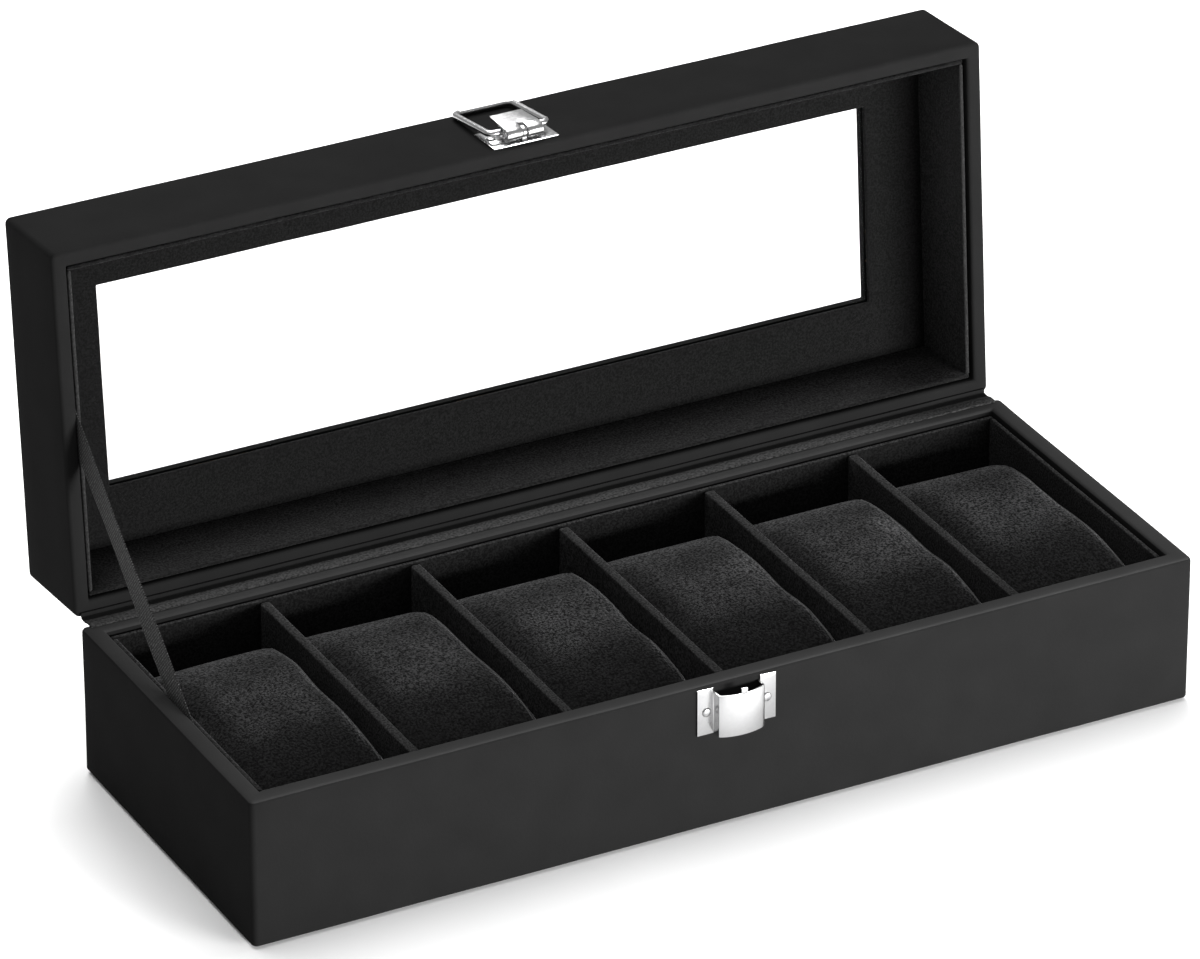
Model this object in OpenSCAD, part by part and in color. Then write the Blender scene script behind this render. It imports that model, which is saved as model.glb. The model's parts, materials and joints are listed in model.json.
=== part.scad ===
// Six-slot watch box: board carcass wrapped in leathercloth, velvet-lined, with a
// glazed lid on a cloth hinge, a stay ribbon, lift-out pillows and a draw clasp.
// Length runs along X, the front faces -Y, the origin is the middle of the underside.
// The lid is drawn shut and then swung open to its stop.

/* [Box] */
// Outside length of the base
box_l = 300; // [270:1:360]
// Outside depth of the base, front to back
box_w = 112; // [96:1:136]
// Height of the base
base_h = 47; // [44:1:60]
// Height of the lid
lid_h = 33; // [27.5:0.5:44]
// How far each end of the lid stands in from the base
lid_inset = 1; // [0:0.5:2]
// Gap between the two rims when the box is shut
rim_gap = 0.4; // [0.2:0.1:1]
// Opening angle of the lid at its stop
lid_open = 94.3; // [86:0.1:104]

/* [Boards] */
// Thickness of the base's wall boards
base_board_t = 4.2; // [3.4:0.1:5]
// Thickness of the bottom board
bottom_board_t = 3.5; // [2.5:0.1:5]
// Thickness of the lid's wall boards
lid_board_t = 3.2; // [2.6:0.1:4]
// Thickness of the lid's top board
top_board_t = 2.5; // [2:0.1:4]

/* [Covering] */
// Thickness of the leathercloth
wrap_t = 0.7; // [0.5:0.1:1]
// Depth that the leathercloth is turned in below the base's rim
flap_h = 12; // [6:0.5:18]
// Depth that the leathercloth is turned in below the lid's rim
lid_flap_h = 8; // [5:0.5:12]
// Width that the leathercloth is turned in under the base
bottom_turn = 10; // [6:0.5:16]
// Thickness of the underside felt
felt_t = 0.8; // [0.5:0.1:1.5]
// Distance of the felt from the edges of the underside
felt_inset = 3; // [1:0.5:6]

/* [Lining] */
// Thickness of the base's velvet-covered liner cards
liner_t = 1.6; // [1.2:0.1:2.4]
// Slot behind each liner card, for glue and the tucked ribbon
liner_gap = 0.6; // [0.5:0.1:1]
// Depth of the base liners' top edge below the rim
liner_drop = 1.5; // [0.5:0.1:4]
// Thickness of the velvet-covered floor card
floor_t = 1.5; // [1:0.1:3]
// Thickness of the lid's liner cards
lid_liner_t = 1.2; // [0.8:0.1:2]
// Depth of the lid liners' edge inside the lid's rim
lid_liner_drop = 1.3; // [0.5:0.1:4]

/* [Window] */
// Length of the window
window_l = 249; // [200:1:258]
// Width of the window
window_w = 63; // [40:1:78]
// Thickness of the pane
glass_t = 1.5; // [1:0.1:3]
// Lap of the pane over the edge of the window
glass_lap = 6; // [3:0.5:9]
// Slack between the pane and the pocket that holds it
glass_slack = 0.3; // [0.1:0.1:0.6]
// Thickness of the inner frame where it covers the pane
frame_cover_t = 1.2; // [0.8:0.1:2]
// Width of the step between the window and the inner frame
frame_reveal = 0.8; // [0.4:0.1:2]

/* [Compartments] */
// Thickness of a divider
divider_t = 3; // [2:0.1:4]
// Depth of the dividers' top edge below the rim
divider_drop = 2; // [1:0.1:6]
// Length of a pillow, front to back
pillow_l = 91; // [60:1:92]
// Height of a pillow
pillow_h = 36.5; // [24:0.5:37]
// Gap at each side of a pillow
pillow_gap = 0.4; // [0.3:0.1:1]
// Gap under a pillow
pillow_lift = 0.1; // [0.05:0.05:0.3]
// Thickness of the pillow's cover
cover_t = 1.2; // [0.8:0.1:2]

/* [Hinge and ribbon] */
// Distance of the hinge line behind the back of the base
hinge_back = 2.3; // [1.8:0.1:3]
// Depth of the hinge line below the base's rim
hinge_drop = 2.2; // [1.8:0.1:3]
// Thickness of the hinge strip
strip_t = 0.6; // [0.4:0.1:0.8]
// Width of the hinge strip glued to the base's rim
strip_lap = 2.2; // [1.5:0.1:3.5]
// Distance of each end of the hinge strip from the lid's end
strip_inset = 1.5; // [0.5:0.5:4]
// Width of the stay ribbon
ribbon_w = 10; // [6:0.5:14]
// Thickness of the stay ribbon
ribbon_t = 0.4; // [0.3:0.05:0.45]
// Distance from the hinge line to where the ribbon is tucked in
ribbon_reach = 58; // [40:1:70]
// Length of ribbon tucked behind each liner
ribbon_tuck = 12; // [6:0.5:14]

/* [Clasp] */
// Offset of the clasp from the middle of the front
clasp_x = 0.8; // [-4:0.1:4]
// Thickness of the clasp's steel sheet
sheet_t = 0.6; // [0.5:0.05:0.7]
// Width of the strike plate
strike_w = 25; // [24:0.5:30]
// Height of the strike plate
strike_h = 14.3; // [11.9:0.1:16]
// Distance of the strike plate below the base's rim
strike_drop = 1.4; // [0.8:0.1:3]
// Width of the strike's bowed hook where it leaves the plate
hook_w = 14.4; // [12:0.1:15]
// How far the middle of the hook stands out from the box
hook_out = 5.4; // [4.8:0.1:5.6]
// How far the hook's flanks stand out before its face bows
hook_flank = 4.4; // [3.8:0.1:4.4]
// How far the hook's top edge is below the plate's
hook_drop = 1.3; // [0.5:0.1:3]
// Width of the latch plate
latch_w = 20.8; // [20:0.1:24]
// Height of the latch plate
latch_h = 13; // [12:0.5:16]
// Distance of the latch plate from the lid's rim
latch_rim = 1.8; // [1:0.1:4]
// Radius of the rolled eyes of the latch lever
eye_r = 2.1; // [1.9:0.05:2.3]
// Radius of the lever's pin
pin_r = 0.8; // [0.6:0.05:1]
// Width of the latch lever
lever_w = 11.6; // [11:0.1:13]
// Length of the latch lever from its pin
lever_l = 11; // [9:0.5:14]
// Thickness of the latch lever
lever_t = 1; // [0.8:0.1:1.2]
// Width of the slot between the lever's two eyes
lever_slot = 1.9; // [1.6:0.1:2.4]
// Radius of the bail's wire
wire_r = 1; // [0.8:0.05:1]
// Width of the bail over its wires
bail_w = 20.6; // [20:0.1:22]
// Distance of the bail's pivot from the lever's pin
bail_pivot = 2.6; // [2.4:0.1:3.4]
// Radius of a nail's head
nail_head_r = 1.4; // [1:0.1:1.5]
// Height of a nail's head
nail_head_h = 0.5; // [0.3:0.1:0.6]
// Radius of a nail's shank
nail_r = 0.6; // [0.4:0.05:0.8]
// Length of a nail's shank
nail_l = 4.5; // [2.5:0.1:4.5]
// Distance of the strike's nails from its middle
strike_nail_x = 9.6; // [9.2:0.1:10.4]
// Distance of the latch plate's nails from its middle
latch_nail_x = 7.9; // [7.7:0.1:8.6]

/* [Hidden] */

// A small length that carries a cut past the face it opens
cut = 1;
// Slack around a nail's shank, and around the pins
nail_slack = 0.05;
pin_fit = 0.02;
run_fit = 0.05;
// Gaps of the clasp: eye to plate, bail to lid, bail to hook; how much further out
// than the pin the bail's pivot is, and where its bar lies under the hook
eye_gap = 0.35;
rest_gap = 0.15;
hook_gap = 0.25;
pivot_step = 0.15;
bar_out = 2;
// Metal left round a cheek's bore, and the height of the latch plate's nails on it
cheek_rim = 0.7;
latch_nail_rise = 7;
// The hook's upright stop tab
tab_w = 2;
tab_h = 1.6;
// The latch plate's knuckle: clear of the lever's eyes, smaller, and on a neck
knuckle_gap = 0.2;
knuckle_drop = 0.3;
neck_h = 2;
// Corner radius of a pillow, seen from above
pillow_corner = 8;
slots = 6;

// Half sizes of the base, from the outside to the lined hollow
half_l = box_l / 2;
half_w = box_w / 2;
base_wall = base_board_t + 2 * wrap_t;
well_l = half_l - base_wall;
well_w = half_w - base_wall;
lined_l = well_l - liner_gap - liner_t;
lined_w = well_w - liner_gap - liner_t;
bottom_z = felt_t + wrap_t;
floor_z = bottom_z + bottom_board_t + floor_t;
liner_z = base_h - liner_drop;

// Half sizes and levels of the shut lid
lid_half_l = half_l - lid_inset;
lid_wall = lid_board_t + 2 * wrap_t;
lid_well_l = lid_half_l - lid_wall;
lid_well_w = half_w - lid_wall;
lid_z = base_h + rim_gap;
lid_top = lid_z + lid_h;
top_board_z = lid_top - wrap_t - top_board_t;
glass_z = top_board_z - glass_t;
frame_z = glass_z - frame_cover_t;

// The hinge line
hinge_y = half_w + hinge_back;
hinge_z = base_h - hinge_drop;

// Compartments: equal widths between the side liners
pitch = (2 * lined_l + divider_t) / slots;
slot_w = pitch - divider_t;
pillow_w = slot_w - 2 * pillow_gap;

// The strike on the front of the base
strike_top = base_h - strike_drop;
strike_low = strike_top - strike_h;
hook_top = strike_top - hook_drop;
hook_bow = hook_out - hook_flank;
hook_r = (pow(hook_w / 2, 2) + pow(hook_bow, 2)) / (2 * hook_bow);

// The latch on the front of the lid; heights are those of the shut lid,
// and out is the distance from the box's front
pin_z = lid_z + latch_rim + eye_r;
pin_out = sheet_t + eye_gap + eye_r;
bail_z = pin_z + bail_pivot;
bail_out = pin_out + pivot_step;
bail_arm_x = bail_w / 2 - wire_r;
bar_z = strike_low - hook_gap - wire_r;
bail_len = norm([bail_z - bar_z, bail_out - bar_out]);
bail_lean = asin((bail_out - wire_r - rest_gap) / bail_len);
cheek_t = lever_t;
cheek_r = wire_r + run_fit + cheek_rim;
latch_nail_z = lid_z + latch_rim + latch_nail_rise;

// Where a point of the shut lid is when the lid is open
function opened(y, z) = [
    hinge_y + (y - hinge_y) * cos(lid_open) + (z - hinge_z) * sin(lid_open),
    hinge_z - (y - hinge_y) * sin(lid_open) + (z - hinge_z) * cos(lid_open)];

// Half outline of a pillow: a flattened oval, from its top round to its underside
function squircle(a, b, power, steps = 10) = [for (i = [0:steps])
    [a * pow(sin(90 * i / steps), 2 / power), b * pow(cos(90 * i / steps), 2 / power)]];

// A centred block from its half length, half width and two heights
module block(hl, hw, z1, z2) {
    translate([-hl, -hw, z1]) cube([2 * hl, 2 * hw, z2 - z1]);
}

// A rod along X between two places
module rod(x1, x2, r) {
    translate([x1, 0, 0]) rotate([0, 90, 0]) cylinder(h = x2 - x1, r = r, $fn = 48);
}

// Swings what is drawn shut to its place on the open lid
module open_lid() {
    translate([0, hinge_y, hinge_z]) rotate([-lid_open, 0, 0])
        translate([0, -hinge_y, -hinge_z]) children();
}

// Puts the clasp's own frame on the box's front: X across, -Y out
module on_front() {
    translate([clasp_x, -half_w, 0]) children();
}

// One end wall board or long wall board, by the side it stands on
module end_board(side, outer, thick, half_depth, z1, z2) {
    x = side > 0 ? outer - thick : -outer;
    translate([x, -half_depth, z1]) cube([thick, 2 * half_depth, z2 - z1]);
}
module long_board(side, outer, thick, half_length, z1, z2) {
    y = side > 0 ? outer - thick : -outer;
    translate([-half_length, y, z1]) cube([2 * half_length, thick, z2 - z1]);
}

// Holes for a pair of nails, drilled from the box's front
module nail_holes(x, z) {
    on_front() for (s = [-1, 1]) translate([s * x, -cut, z]) rotate([-90, 0, 0])
        cylinder(h = cut + nail_l - sheet_t + nail_slack, r = nail_r + nail_slack, $fn = 32);
}

// A pair of round-headed nails through the clasp's sheet
module nail_pair(x, z) {
    on_front() for (s = [-1, 1]) translate([s * x, -sheet_t, z]) rotate([-90, 0, 0]) {
        cylinder(h = nail_l, r = nail_r, $fn = 32);
        translate([0, 0, -nail_head_h]) cylinder(h = nail_head_h, r = nail_head_r, $fn = 32);
    }
}

module base_bottom_board() {
    color("tan") block(half_l - wrap_t - base_board_t, half_w - wrap_t - base_board_t,
        bottom_z, bottom_z + bottom_board_t);
}

module base_long_board(side) {
    long_board(side, half_w - wrap_t, base_board_t, half_l - wrap_t,
        bottom_z, base_h - wrap_t);
}

module base_front_board() {
    color("tan") difference() {
        base_long_board(-1);
        nail_holes(strike_nail_x, strike_low + strike_h / 2);
    }
}

module base_back_board() {
    color("tan") base_long_board(1);
}

module base_end_board(side) {
    color("tan") end_board(side, half_l - wrap_t, base_board_t,
        half_w - wrap_t - base_board_t, bottom_z, base_h - wrap_t);
}

// Leathercloth skin: outside, over the rim, down inside, and turned under the base
module base_wrap() {
    color([0.16, 0.16, 0.16]) difference() {
        block(half_l, half_w, felt_t, base_h);
        block(half_l - wrap_t, half_w - wrap_t, bottom_z, base_h - flap_h);
        difference() {
            block(half_l - wrap_t, half_w - wrap_t, bottom_z, base_h - wrap_t);
            block(well_l + wrap_t, well_w + wrap_t, 0, base_h);
        }
        block(well_l, well_w, base_h - flap_h - cut, base_h + cut);
        block(half_l - bottom_turn, half_w - bottom_turn, 0, bottom_z + cut);
        nail_holes(strike_nail_x, strike_low + strike_h / 2);
    }
}

module underside_felt() {
    color([0.07, 0.07, 0.07]) block(half_l - felt_inset, half_w - felt_inset, 0, felt_t);
}

module floor_liner() {
    color([0.07, 0.07, 0.07]) block(half_l - wrap_t - base_board_t,
        half_w - wrap_t - base_board_t, floor_z - floor_t, floor_z);
}

module base_long_liner(side) {
    color([0.08, 0.08, 0.08]) long_board(side, well_w - liner_gap, liner_t,
        well_l - liner_gap, floor_z, liner_z);
}

module base_end_liner(side) {
    color([0.08, 0.08, 0.08]) end_board(side, well_l - liner_gap, liner_t, lined_w,
        floor_z, liner_z);
}

// Dividers are numbered from the left
module divider(n) {
    color([0.1, 0.1, 0.1]) translate([(n - slots / 2) * pitch, 0, 0])
        block(divider_t / 2, lined_w, floor_z, base_h - divider_drop);
}

// The solid shape of a pillow: an oval section across the box, crowned along it
module pillow_form(w, l, h, z, corner) {
    low = 0.4 * h;
    high = h - low;
    module half(a, power_up, power_down) {
        up = squircle(a, high, power_up);
        down = squircle(a, low, power_down);
        right = concat(up, [for (i = [len(down) - 2:-1:0]) [down[i][0], -down[i][1]]]);
        left = [for (i = [len(right) - 2:-1:1]) [-right[i][0], right[i][1]]];
        polygon(concat(right, left));
    }
    translate([0, 0, z + low]) intersection() {
        translate([-w / 2, 0, 0]) rotate([90, 0, 90]) linear_extrude(w) half(l / 2, 2.6, 5);
        translate([0, l / 2, 0]) rotate([90, 0, 0]) linear_extrude(l) half(w / 2, 6, 7);
        union() {
            block(w / 2 - corner, l / 2, -low, high);
            block(w / 2, l / 2 - corner, -low, high);
            for (x = [-1, 1], y = [-1, 1])
                translate([x * (w / 2 - corner), y * (l / 2 - corner), -low])
                    cylinder(h = h, r = corner, $fn = 64);
        }
    }
}

module in_slot(n) {
    translate([(n - (slots + 1) / 2) * pitch, 0, 0]) children();
}

module pillow_cover(n) {
    color([0.12, 0.12, 0.12]) in_slot(n) difference() {
        pillow_form(pillow_w, pillow_l, pillow_h, floor_z + pillow_lift, pillow_corner);
        pillow_form(pillow_w - 2 * cover_t, pillow_l - 2 * cover_t, pillow_h - 2 * cover_t,
            floor_z + pillow_lift + cover_t, pillow_corner - cover_t);
    }
}

module pillow_core(n) {
    thick = cover_t + nail_slack;
    color("ivory") in_slot(n) pillow_form(pillow_w - 2 * thick, pillow_l - 2 * thick,
        pillow_h - 2 * thick, floor_z + pillow_lift + thick, pillow_corner - thick);
}

// Pressed plate: two ears, and between them a hook with straight flanks, a bowed face
// and a small upright tab
module strike_plate() {
    color("silver") on_front() difference() {
        union() {
            for (s = [-1, 1]) {
                translate([s > 0 ? hook_w / 2 : -strike_w / 2, -sheet_t, strike_low])
                    cube([(strike_w - hook_w) / 2, sheet_t, strike_h]);
                translate([s > 0 ? hook_w / 2 - sheet_t : -hook_w / 2, -hook_flank, strike_low])
                    cube([sheet_t, hook_flank, hook_top - strike_low]);
            }
            intersection() {
                translate([0, hook_r - hook_out, strike_low]) difference() {
                    cylinder(h = hook_top - strike_low, r = hook_r, $fn = 96);
                    translate([0, 0, -cut]) cylinder(h = hook_top - strike_low + 2 * cut,
                        r = hook_r - sheet_t, $fn = 96);
                }
                translate([-hook_w / 2, -hook_out - cut, 0])
                    cube([hook_w, hook_out - hook_flank + sheet_t + cut, base_h]);
            }
            translate([-tab_w / 2, sheet_t / 2 - hook_out, hook_top - sheet_t])
                cube([tab_w, sheet_t, sheet_t + tab_h]);
        }
        for (s = [-1, 1]) translate([s * strike_nail_x, cut, strike_low + strike_h / 2])
            rotate([90, 0, 0]) cylinder(h = 2 * cut + sheet_t, r = nail_r + nail_slack, $fn = 32);
    }
}

module strike_nails() {
    color("silver") nail_pair(strike_nail_x, strike_low + strike_h / 2);
}

module lid_long_board(side) {
    long_board(side, half_w - wrap_t, lid_board_t, lid_half_l - wrap_t,
        lid_z + wrap_t, top_board_z);
}

module lid_front_board() {
    color("tan") open_lid() difference() {
        lid_long_board(-1);
        nail_holes(latch_nail_x, latch_nail_z);
    }
}

module lid_back_board() {
    color("tan") open_lid() lid_long_board(1);
}

module lid_end_board(side) {
    color("tan") open_lid() end_board(side, lid_half_l - wrap_t, lid_board_t,
        half_w - wrap_t - lid_board_t, lid_z + wrap_t, top_board_z);
}

module lid_top_board() {
    color("tan") open_lid() difference() {
        block(lid_half_l - wrap_t, half_w - wrap_t, top_board_z, top_board_z + top_board_t);
        block(window_l / 2 + wrap_t, window_w / 2 + wrap_t, top_board_z - cut, lid_top);
    }
}

// Leathercloth skin of the lid: over the rim, and turned in round the window
module lid_wrap() {
    color([0.16, 0.16, 0.16]) open_lid() difference() {
        block(lid_half_l, half_w, lid_z, lid_top);
        difference() {
            block(lid_half_l - wrap_t, half_w - wrap_t, lid_z + wrap_t, lid_top - wrap_t);
            block(lid_well_l + wrap_t, lid_well_w + wrap_t, 0, lid_z + lid_flap_h);
            block(window_l / 2 + wrap_t, window_w / 2 + wrap_t, top_board_z, lid_top);
        }
        block(lid_well_l + wrap_t, lid_well_w + wrap_t, lid_z + lid_flap_h, top_board_z);
        block(lid_well_l, lid_well_w, lid_z - cut, lid_z + lid_flap_h + cut);
        block(window_l / 2, window_w / 2, top_board_z - cut, lid_top + cut);
        nail_holes(latch_nail_x, latch_nail_z);
    }
}

module glass_pane() {
    color("lightblue", 0.3) open_lid() block(window_l / 2 + glass_lap,
        window_w / 2 + glass_lap, glass_z, top_board_z);
}

// Velvet-covered card inside the lid, with a pocket that holds the pane
module window_frame() {
    color([0.08, 0.08, 0.08]) open_lid() difference() {
        block(lid_well_l + wrap_t, lid_well_w + wrap_t, frame_z, top_board_z);
        block(window_l / 2 + glass_lap + glass_slack, window_w / 2 + glass_lap + glass_slack,
            glass_z, top_board_z + cut);
        block(window_l / 2 + frame_reveal, window_w / 2 + frame_reveal,
            frame_z - cut, top_board_z + cut);
    }
}

module lid_long_liner(side) {
    color([0.08, 0.08, 0.08]) open_lid() long_board(side, lid_well_w - liner_gap,
        lid_liner_t, lid_well_l - liner_gap, lid_z + lid_liner_drop, frame_z);
}

module lid_end_liner(side) {
    color([0.08, 0.08, 0.08]) open_lid() end_board(side, lid_well_l - liner_gap,
        lid_liner_t, lid_well_w - liner_gap - lid_liner_t, lid_z + lid_liner_drop, frame_z);
}

// Plate nailed to the lid, with a rolled knuckle in its middle for the lever's pin
module latch_plate() {
    knuckle_w = lever_slot - 2 * knuckle_gap;
    color("silver") open_lid() on_front() difference() {
        union() {
            translate([-latch_w / 2, -sheet_t, lid_z + latch_rim])
                cube([latch_w, sheet_t, latch_h]);
            translate([0, -pin_out, pin_z]) rod(-knuckle_w / 2, knuckle_w / 2, eye_r - knuckle_drop);
            translate([-knuckle_w / 2, -pin_out, pin_z - neck_h / 2])
                cube([knuckle_w, pin_out, neck_h]);
        }
        translate([0, -pin_out, pin_z]) rod(-knuckle_w, knuckle_w, pin_r + pin_fit);
        for (s = [-1, 1]) translate([s * latch_nail_x, cut, latch_nail_z])
            rotate([90, 0, 0]) cylinder(h = 2 * cut + sheet_t, r = nail_r + nail_slack, $fn = 32);
    }
}

module latch_nails() {
    color("silver") open_lid() nail_pair(latch_nail_x, latch_nail_z);
}

module lever_pin() {
    color("gainsboro") open_lid() on_front() translate([0, -pin_out, pin_z])
        rod(-lever_w / 2, lever_w / 2, pin_r);
}

// Lever: a flat tongue with two rolled eyes, and two cheeks that take the bail
module latch_lever() {
    color("gray") open_lid() on_front() difference() {
        union() {
            translate([0, -pin_out, pin_z]) for (s = [-1, 1])
                rod(s > 0 ? lever_slot / 2 : -lever_w / 2, s > 0 ? lever_w / 2 : -lever_slot / 2,
                    eye_r);
            translate([-lever_w / 2, -pin_out - eye_r, pin_z]) difference() {
                cube([lever_w, lever_t, lever_l]);
                translate([(lever_w - lever_slot) / 2, -cut, -cut])
                    cube([lever_slot, lever_t + 2 * cut, cut + eye_r]);
            }
            for (s = [-1, 1]) translate([s * (lever_w - cheek_t) / 2, -bail_out, bail_z]) {
                rod(-cheek_t / 2, cheek_t / 2, cheek_r);
                translate([-cheek_t / 2, bail_out - pin_out - eye_r + lever_t / 2, -cheek_r])
                    cube([cheek_t, pin_out + eye_r - lever_t / 2 - bail_out, 2 * cheek_r]);
            }
        }
        translate([0, -pin_out, pin_z]) rod(-lever_w, lever_w, pin_r + run_fit);
        translate([0, -bail_out, bail_z]) rod(-lever_w, lever_w, wire_r + run_fit);
    }
}

// Bail: a wire loop whose ends turn in through the lever's cheeks
module latch_bail() {
    color("silver") open_lid() on_front() translate([0, -bail_out, bail_z])
        rotate([-bail_lean, 0, 0]) {
            for (s = [-1, 1]) {
                rod(s > 0 ? lever_w / 2 - cheek_t : -bail_arm_x,
                    s > 0 ? bail_arm_x : cheek_t - lever_w / 2, wire_r);
                translate([s * bail_arm_x, 0, 0]) {
                    cylinder(h = bail_len, r = wire_r, $fn = 48);
                    sphere(r = wire_r, $fn = 48);
                    translate([0, 0, bail_len]) sphere(r = wire_r, $fn = 48);
                }
            }
            translate([0, 0, bail_len]) rod(-bail_arm_x, bail_arm_x, wire_r);
        }
}

// Leathercloth strip glued to the base's rim, bridging to the open lid's rim
module hinge_strip() {
    rim = opened(half_w, lid_z);
    y1 = half_w - strip_lap;
    reach = rim[0] - half_w;
    outline = [[y1, base_h], [half_w + 0.3 * reach, base_h],
        [half_w + 0.65 * reach, base_h - strip_t], [rim[0] - 0.1, rim[1] - 0.4],
        [rim[0] - 0.1, rim[1] + 1.6], [rim[0] - 0.1 - strip_t, rim[1] + 1.6],
        [rim[0] - 0.1 - strip_t, rim[1] + 0.2], [half_w + 0.65 * reach, base_h],
        [half_w + 0.4 * reach, base_h + strip_t], [y1, base_h + strip_t]];
    color([0.2, 0.2, 0.2]) translate([strip_inset - lid_half_l, 0, 0]) rotate([90, 0, 90])
        linear_extrude(2 * (lid_half_l - strip_inset)) polygon(outline);
}

// Ribbon on the left, straight when the lid is at its stop, tucked behind both liners
module stay_ribbon() {
    from = [hinge_y - ribbon_reach, liner_z];
    to = opened(hinge_y - ribbon_reach, lid_z + lid_liner_drop);
    span = norm(to - from);
    rise = atan2(to[1] - from[1], to[0] - from[0]);
    x = -well_l + (liner_gap - ribbon_t) / 2;
    color([0.1, 0.1, 0.1]) translate([x, from[0], from[1]]) rotate([rise, 0, 0])
        translate([0, -ribbon_tuck, -ribbon_w / 2])
            cube([ribbon_t, span + 2 * ribbon_tuck, ribbon_w]);
}

base_bottom_board();
base_front_board();
base_back_board();
base_end_board(-1);  // base_left_board
base_end_board(1);  // base_right_board
base_wrap();
underside_felt();
floor_liner();
base_long_liner(-1);  // base_front_liner
base_long_liner(1);  // base_back_liner
base_end_liner(-1);  // base_left_liner
base_end_liner(1);  // base_right_liner
divider(1);  // divider_1
divider(2);  // divider_2
divider(3);  // divider_3
divider(4);  // divider_4
divider(5);  // divider_5
strike_plate();
strike_nails();
lid_front_board();
lid_back_board();
lid_end_board(-1);  // lid_left_board
lid_end_board(1);  // lid_right_board
lid_top_board();
lid_wrap();
glass_pane();
window_frame();
lid_long_liner(-1);  // lid_front_liner
lid_long_liner(1);  // lid_back_liner
lid_end_liner(-1);  // lid_left_liner
lid_end_liner(1);  // lid_right_liner
latch_plate();
latch_nails();
lever_pin();
hinge_strip();
stay_ribbon();
latch_lever();
latch_bail();
pillow_cover(1);  // pillow_cover_1
pillow_cover(2);  // pillow_cover_2
pillow_cover(3);  // pillow_cover_3
pillow_cover(4);  // pillow_cover_4
pillow_cover(5);  // pillow_cover_5
pillow_cover(6);  // pillow_cover_6
pillow_core(1);  // pillow_core_1
pillow_core(2);  // pillow_core_2
pillow_core(3);  // pillow_core_3
pillow_core(4);  // pillow_core_4
pillow_core(5);  // pillow_core_5
pillow_core(6);  // pillow_core_6
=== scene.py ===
import json
import math

import bmesh
import bpy
from mathutils import Matrix, Vector, noise
from mathutils.bvhtree import BVHTree


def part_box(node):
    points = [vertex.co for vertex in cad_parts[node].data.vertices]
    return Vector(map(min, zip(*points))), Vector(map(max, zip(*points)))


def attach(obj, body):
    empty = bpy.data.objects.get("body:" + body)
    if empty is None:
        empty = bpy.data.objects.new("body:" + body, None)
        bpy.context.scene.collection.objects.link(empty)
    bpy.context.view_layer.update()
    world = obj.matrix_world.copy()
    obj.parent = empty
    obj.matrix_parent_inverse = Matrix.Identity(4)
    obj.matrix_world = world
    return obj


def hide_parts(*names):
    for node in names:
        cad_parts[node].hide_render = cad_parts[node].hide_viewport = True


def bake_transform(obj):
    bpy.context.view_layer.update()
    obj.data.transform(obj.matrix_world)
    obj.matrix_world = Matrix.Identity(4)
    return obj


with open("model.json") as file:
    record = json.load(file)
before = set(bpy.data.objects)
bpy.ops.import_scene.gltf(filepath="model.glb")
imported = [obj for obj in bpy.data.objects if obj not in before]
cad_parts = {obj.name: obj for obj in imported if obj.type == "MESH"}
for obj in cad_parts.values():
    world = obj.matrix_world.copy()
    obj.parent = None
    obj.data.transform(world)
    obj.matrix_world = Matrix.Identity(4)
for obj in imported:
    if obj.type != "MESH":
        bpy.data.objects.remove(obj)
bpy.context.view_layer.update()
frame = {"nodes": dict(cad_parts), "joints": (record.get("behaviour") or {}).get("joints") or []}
MM = 0.001


# ---------------------------------------------------------------------------------
# The studio: a floor of matt white paper, a big softbox overhead and a little behind, a
# smaller one high at the back right, a low wide one at the front right, a pale sky, and a
# camera with a long lens.

def linear(code):
    """The linear RGBA colour of an sRGB hex code."""
    values = [int(code[i:i + 2], 16) / 255 for i in (1, 3, 5)]
    return (*[v / 12.92 if v <= 0.04045 else ((v + 0.055) / 1.055) ** 2.4 for v in values], 1)


def add(tree, kind, inputs=None, **settings):
    """A new shader node. Inputs are values, or the sockets that are linked to them."""
    made = tree.nodes.new(kind)
    for name, value in settings.items():
        setattr(made, name, value)
    for name, value in (inputs or {}).items():
        if isinstance(value, bpy.types.NodeSocket):
            tree.links.new(value, made.inputs[name])
        else:
            made.inputs[name].default_value = value
    return made


def material(name, **values):
    """A material of one Principled shader, with the values that don't vary over it."""
    made = bpy.data.materials.new(name)
    made.use_nodes = True
    shader = made.node_tree.nodes["Principled BSDF"]
    for key, value in values.items():
        shader.inputs[key.replace("_", " ")].default_value = value
    return made, made.node_tree, shader


def mesh_piece(name, verts, faces, look, smooth=40):
    """A mesh object with one material, smooth except where it turns by more than an angle."""
    mesh = bpy.data.meshes.new(name)
    mesh.from_pydata([tuple(v) for v in verts], [], faces)
    mesh.validate()
    made = bpy.data.objects.new(name, mesh)
    bpy.context.scene.collection.objects.link(made)
    bm = bmesh.new()
    bm.from_mesh(mesh)
    bmesh.ops.recalc_face_normals(bm, faces=bm.faces)
    bm.to_mesh(mesh)
    bm.free()
    mesh.shade_smooth()
    mesh.set_sharp_from_angle(angle=math.radians(smooth))
    mesh.materials.append(look)
    return made


def aimed(position, target):
    """A transform at a place, looking at another with its -Z."""
    away = Vector(target) - Vector(position)
    return Matrix.Translation(position) @ away.to_track_quat("-Z", "Y").to_matrix().to_4x4()


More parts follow.
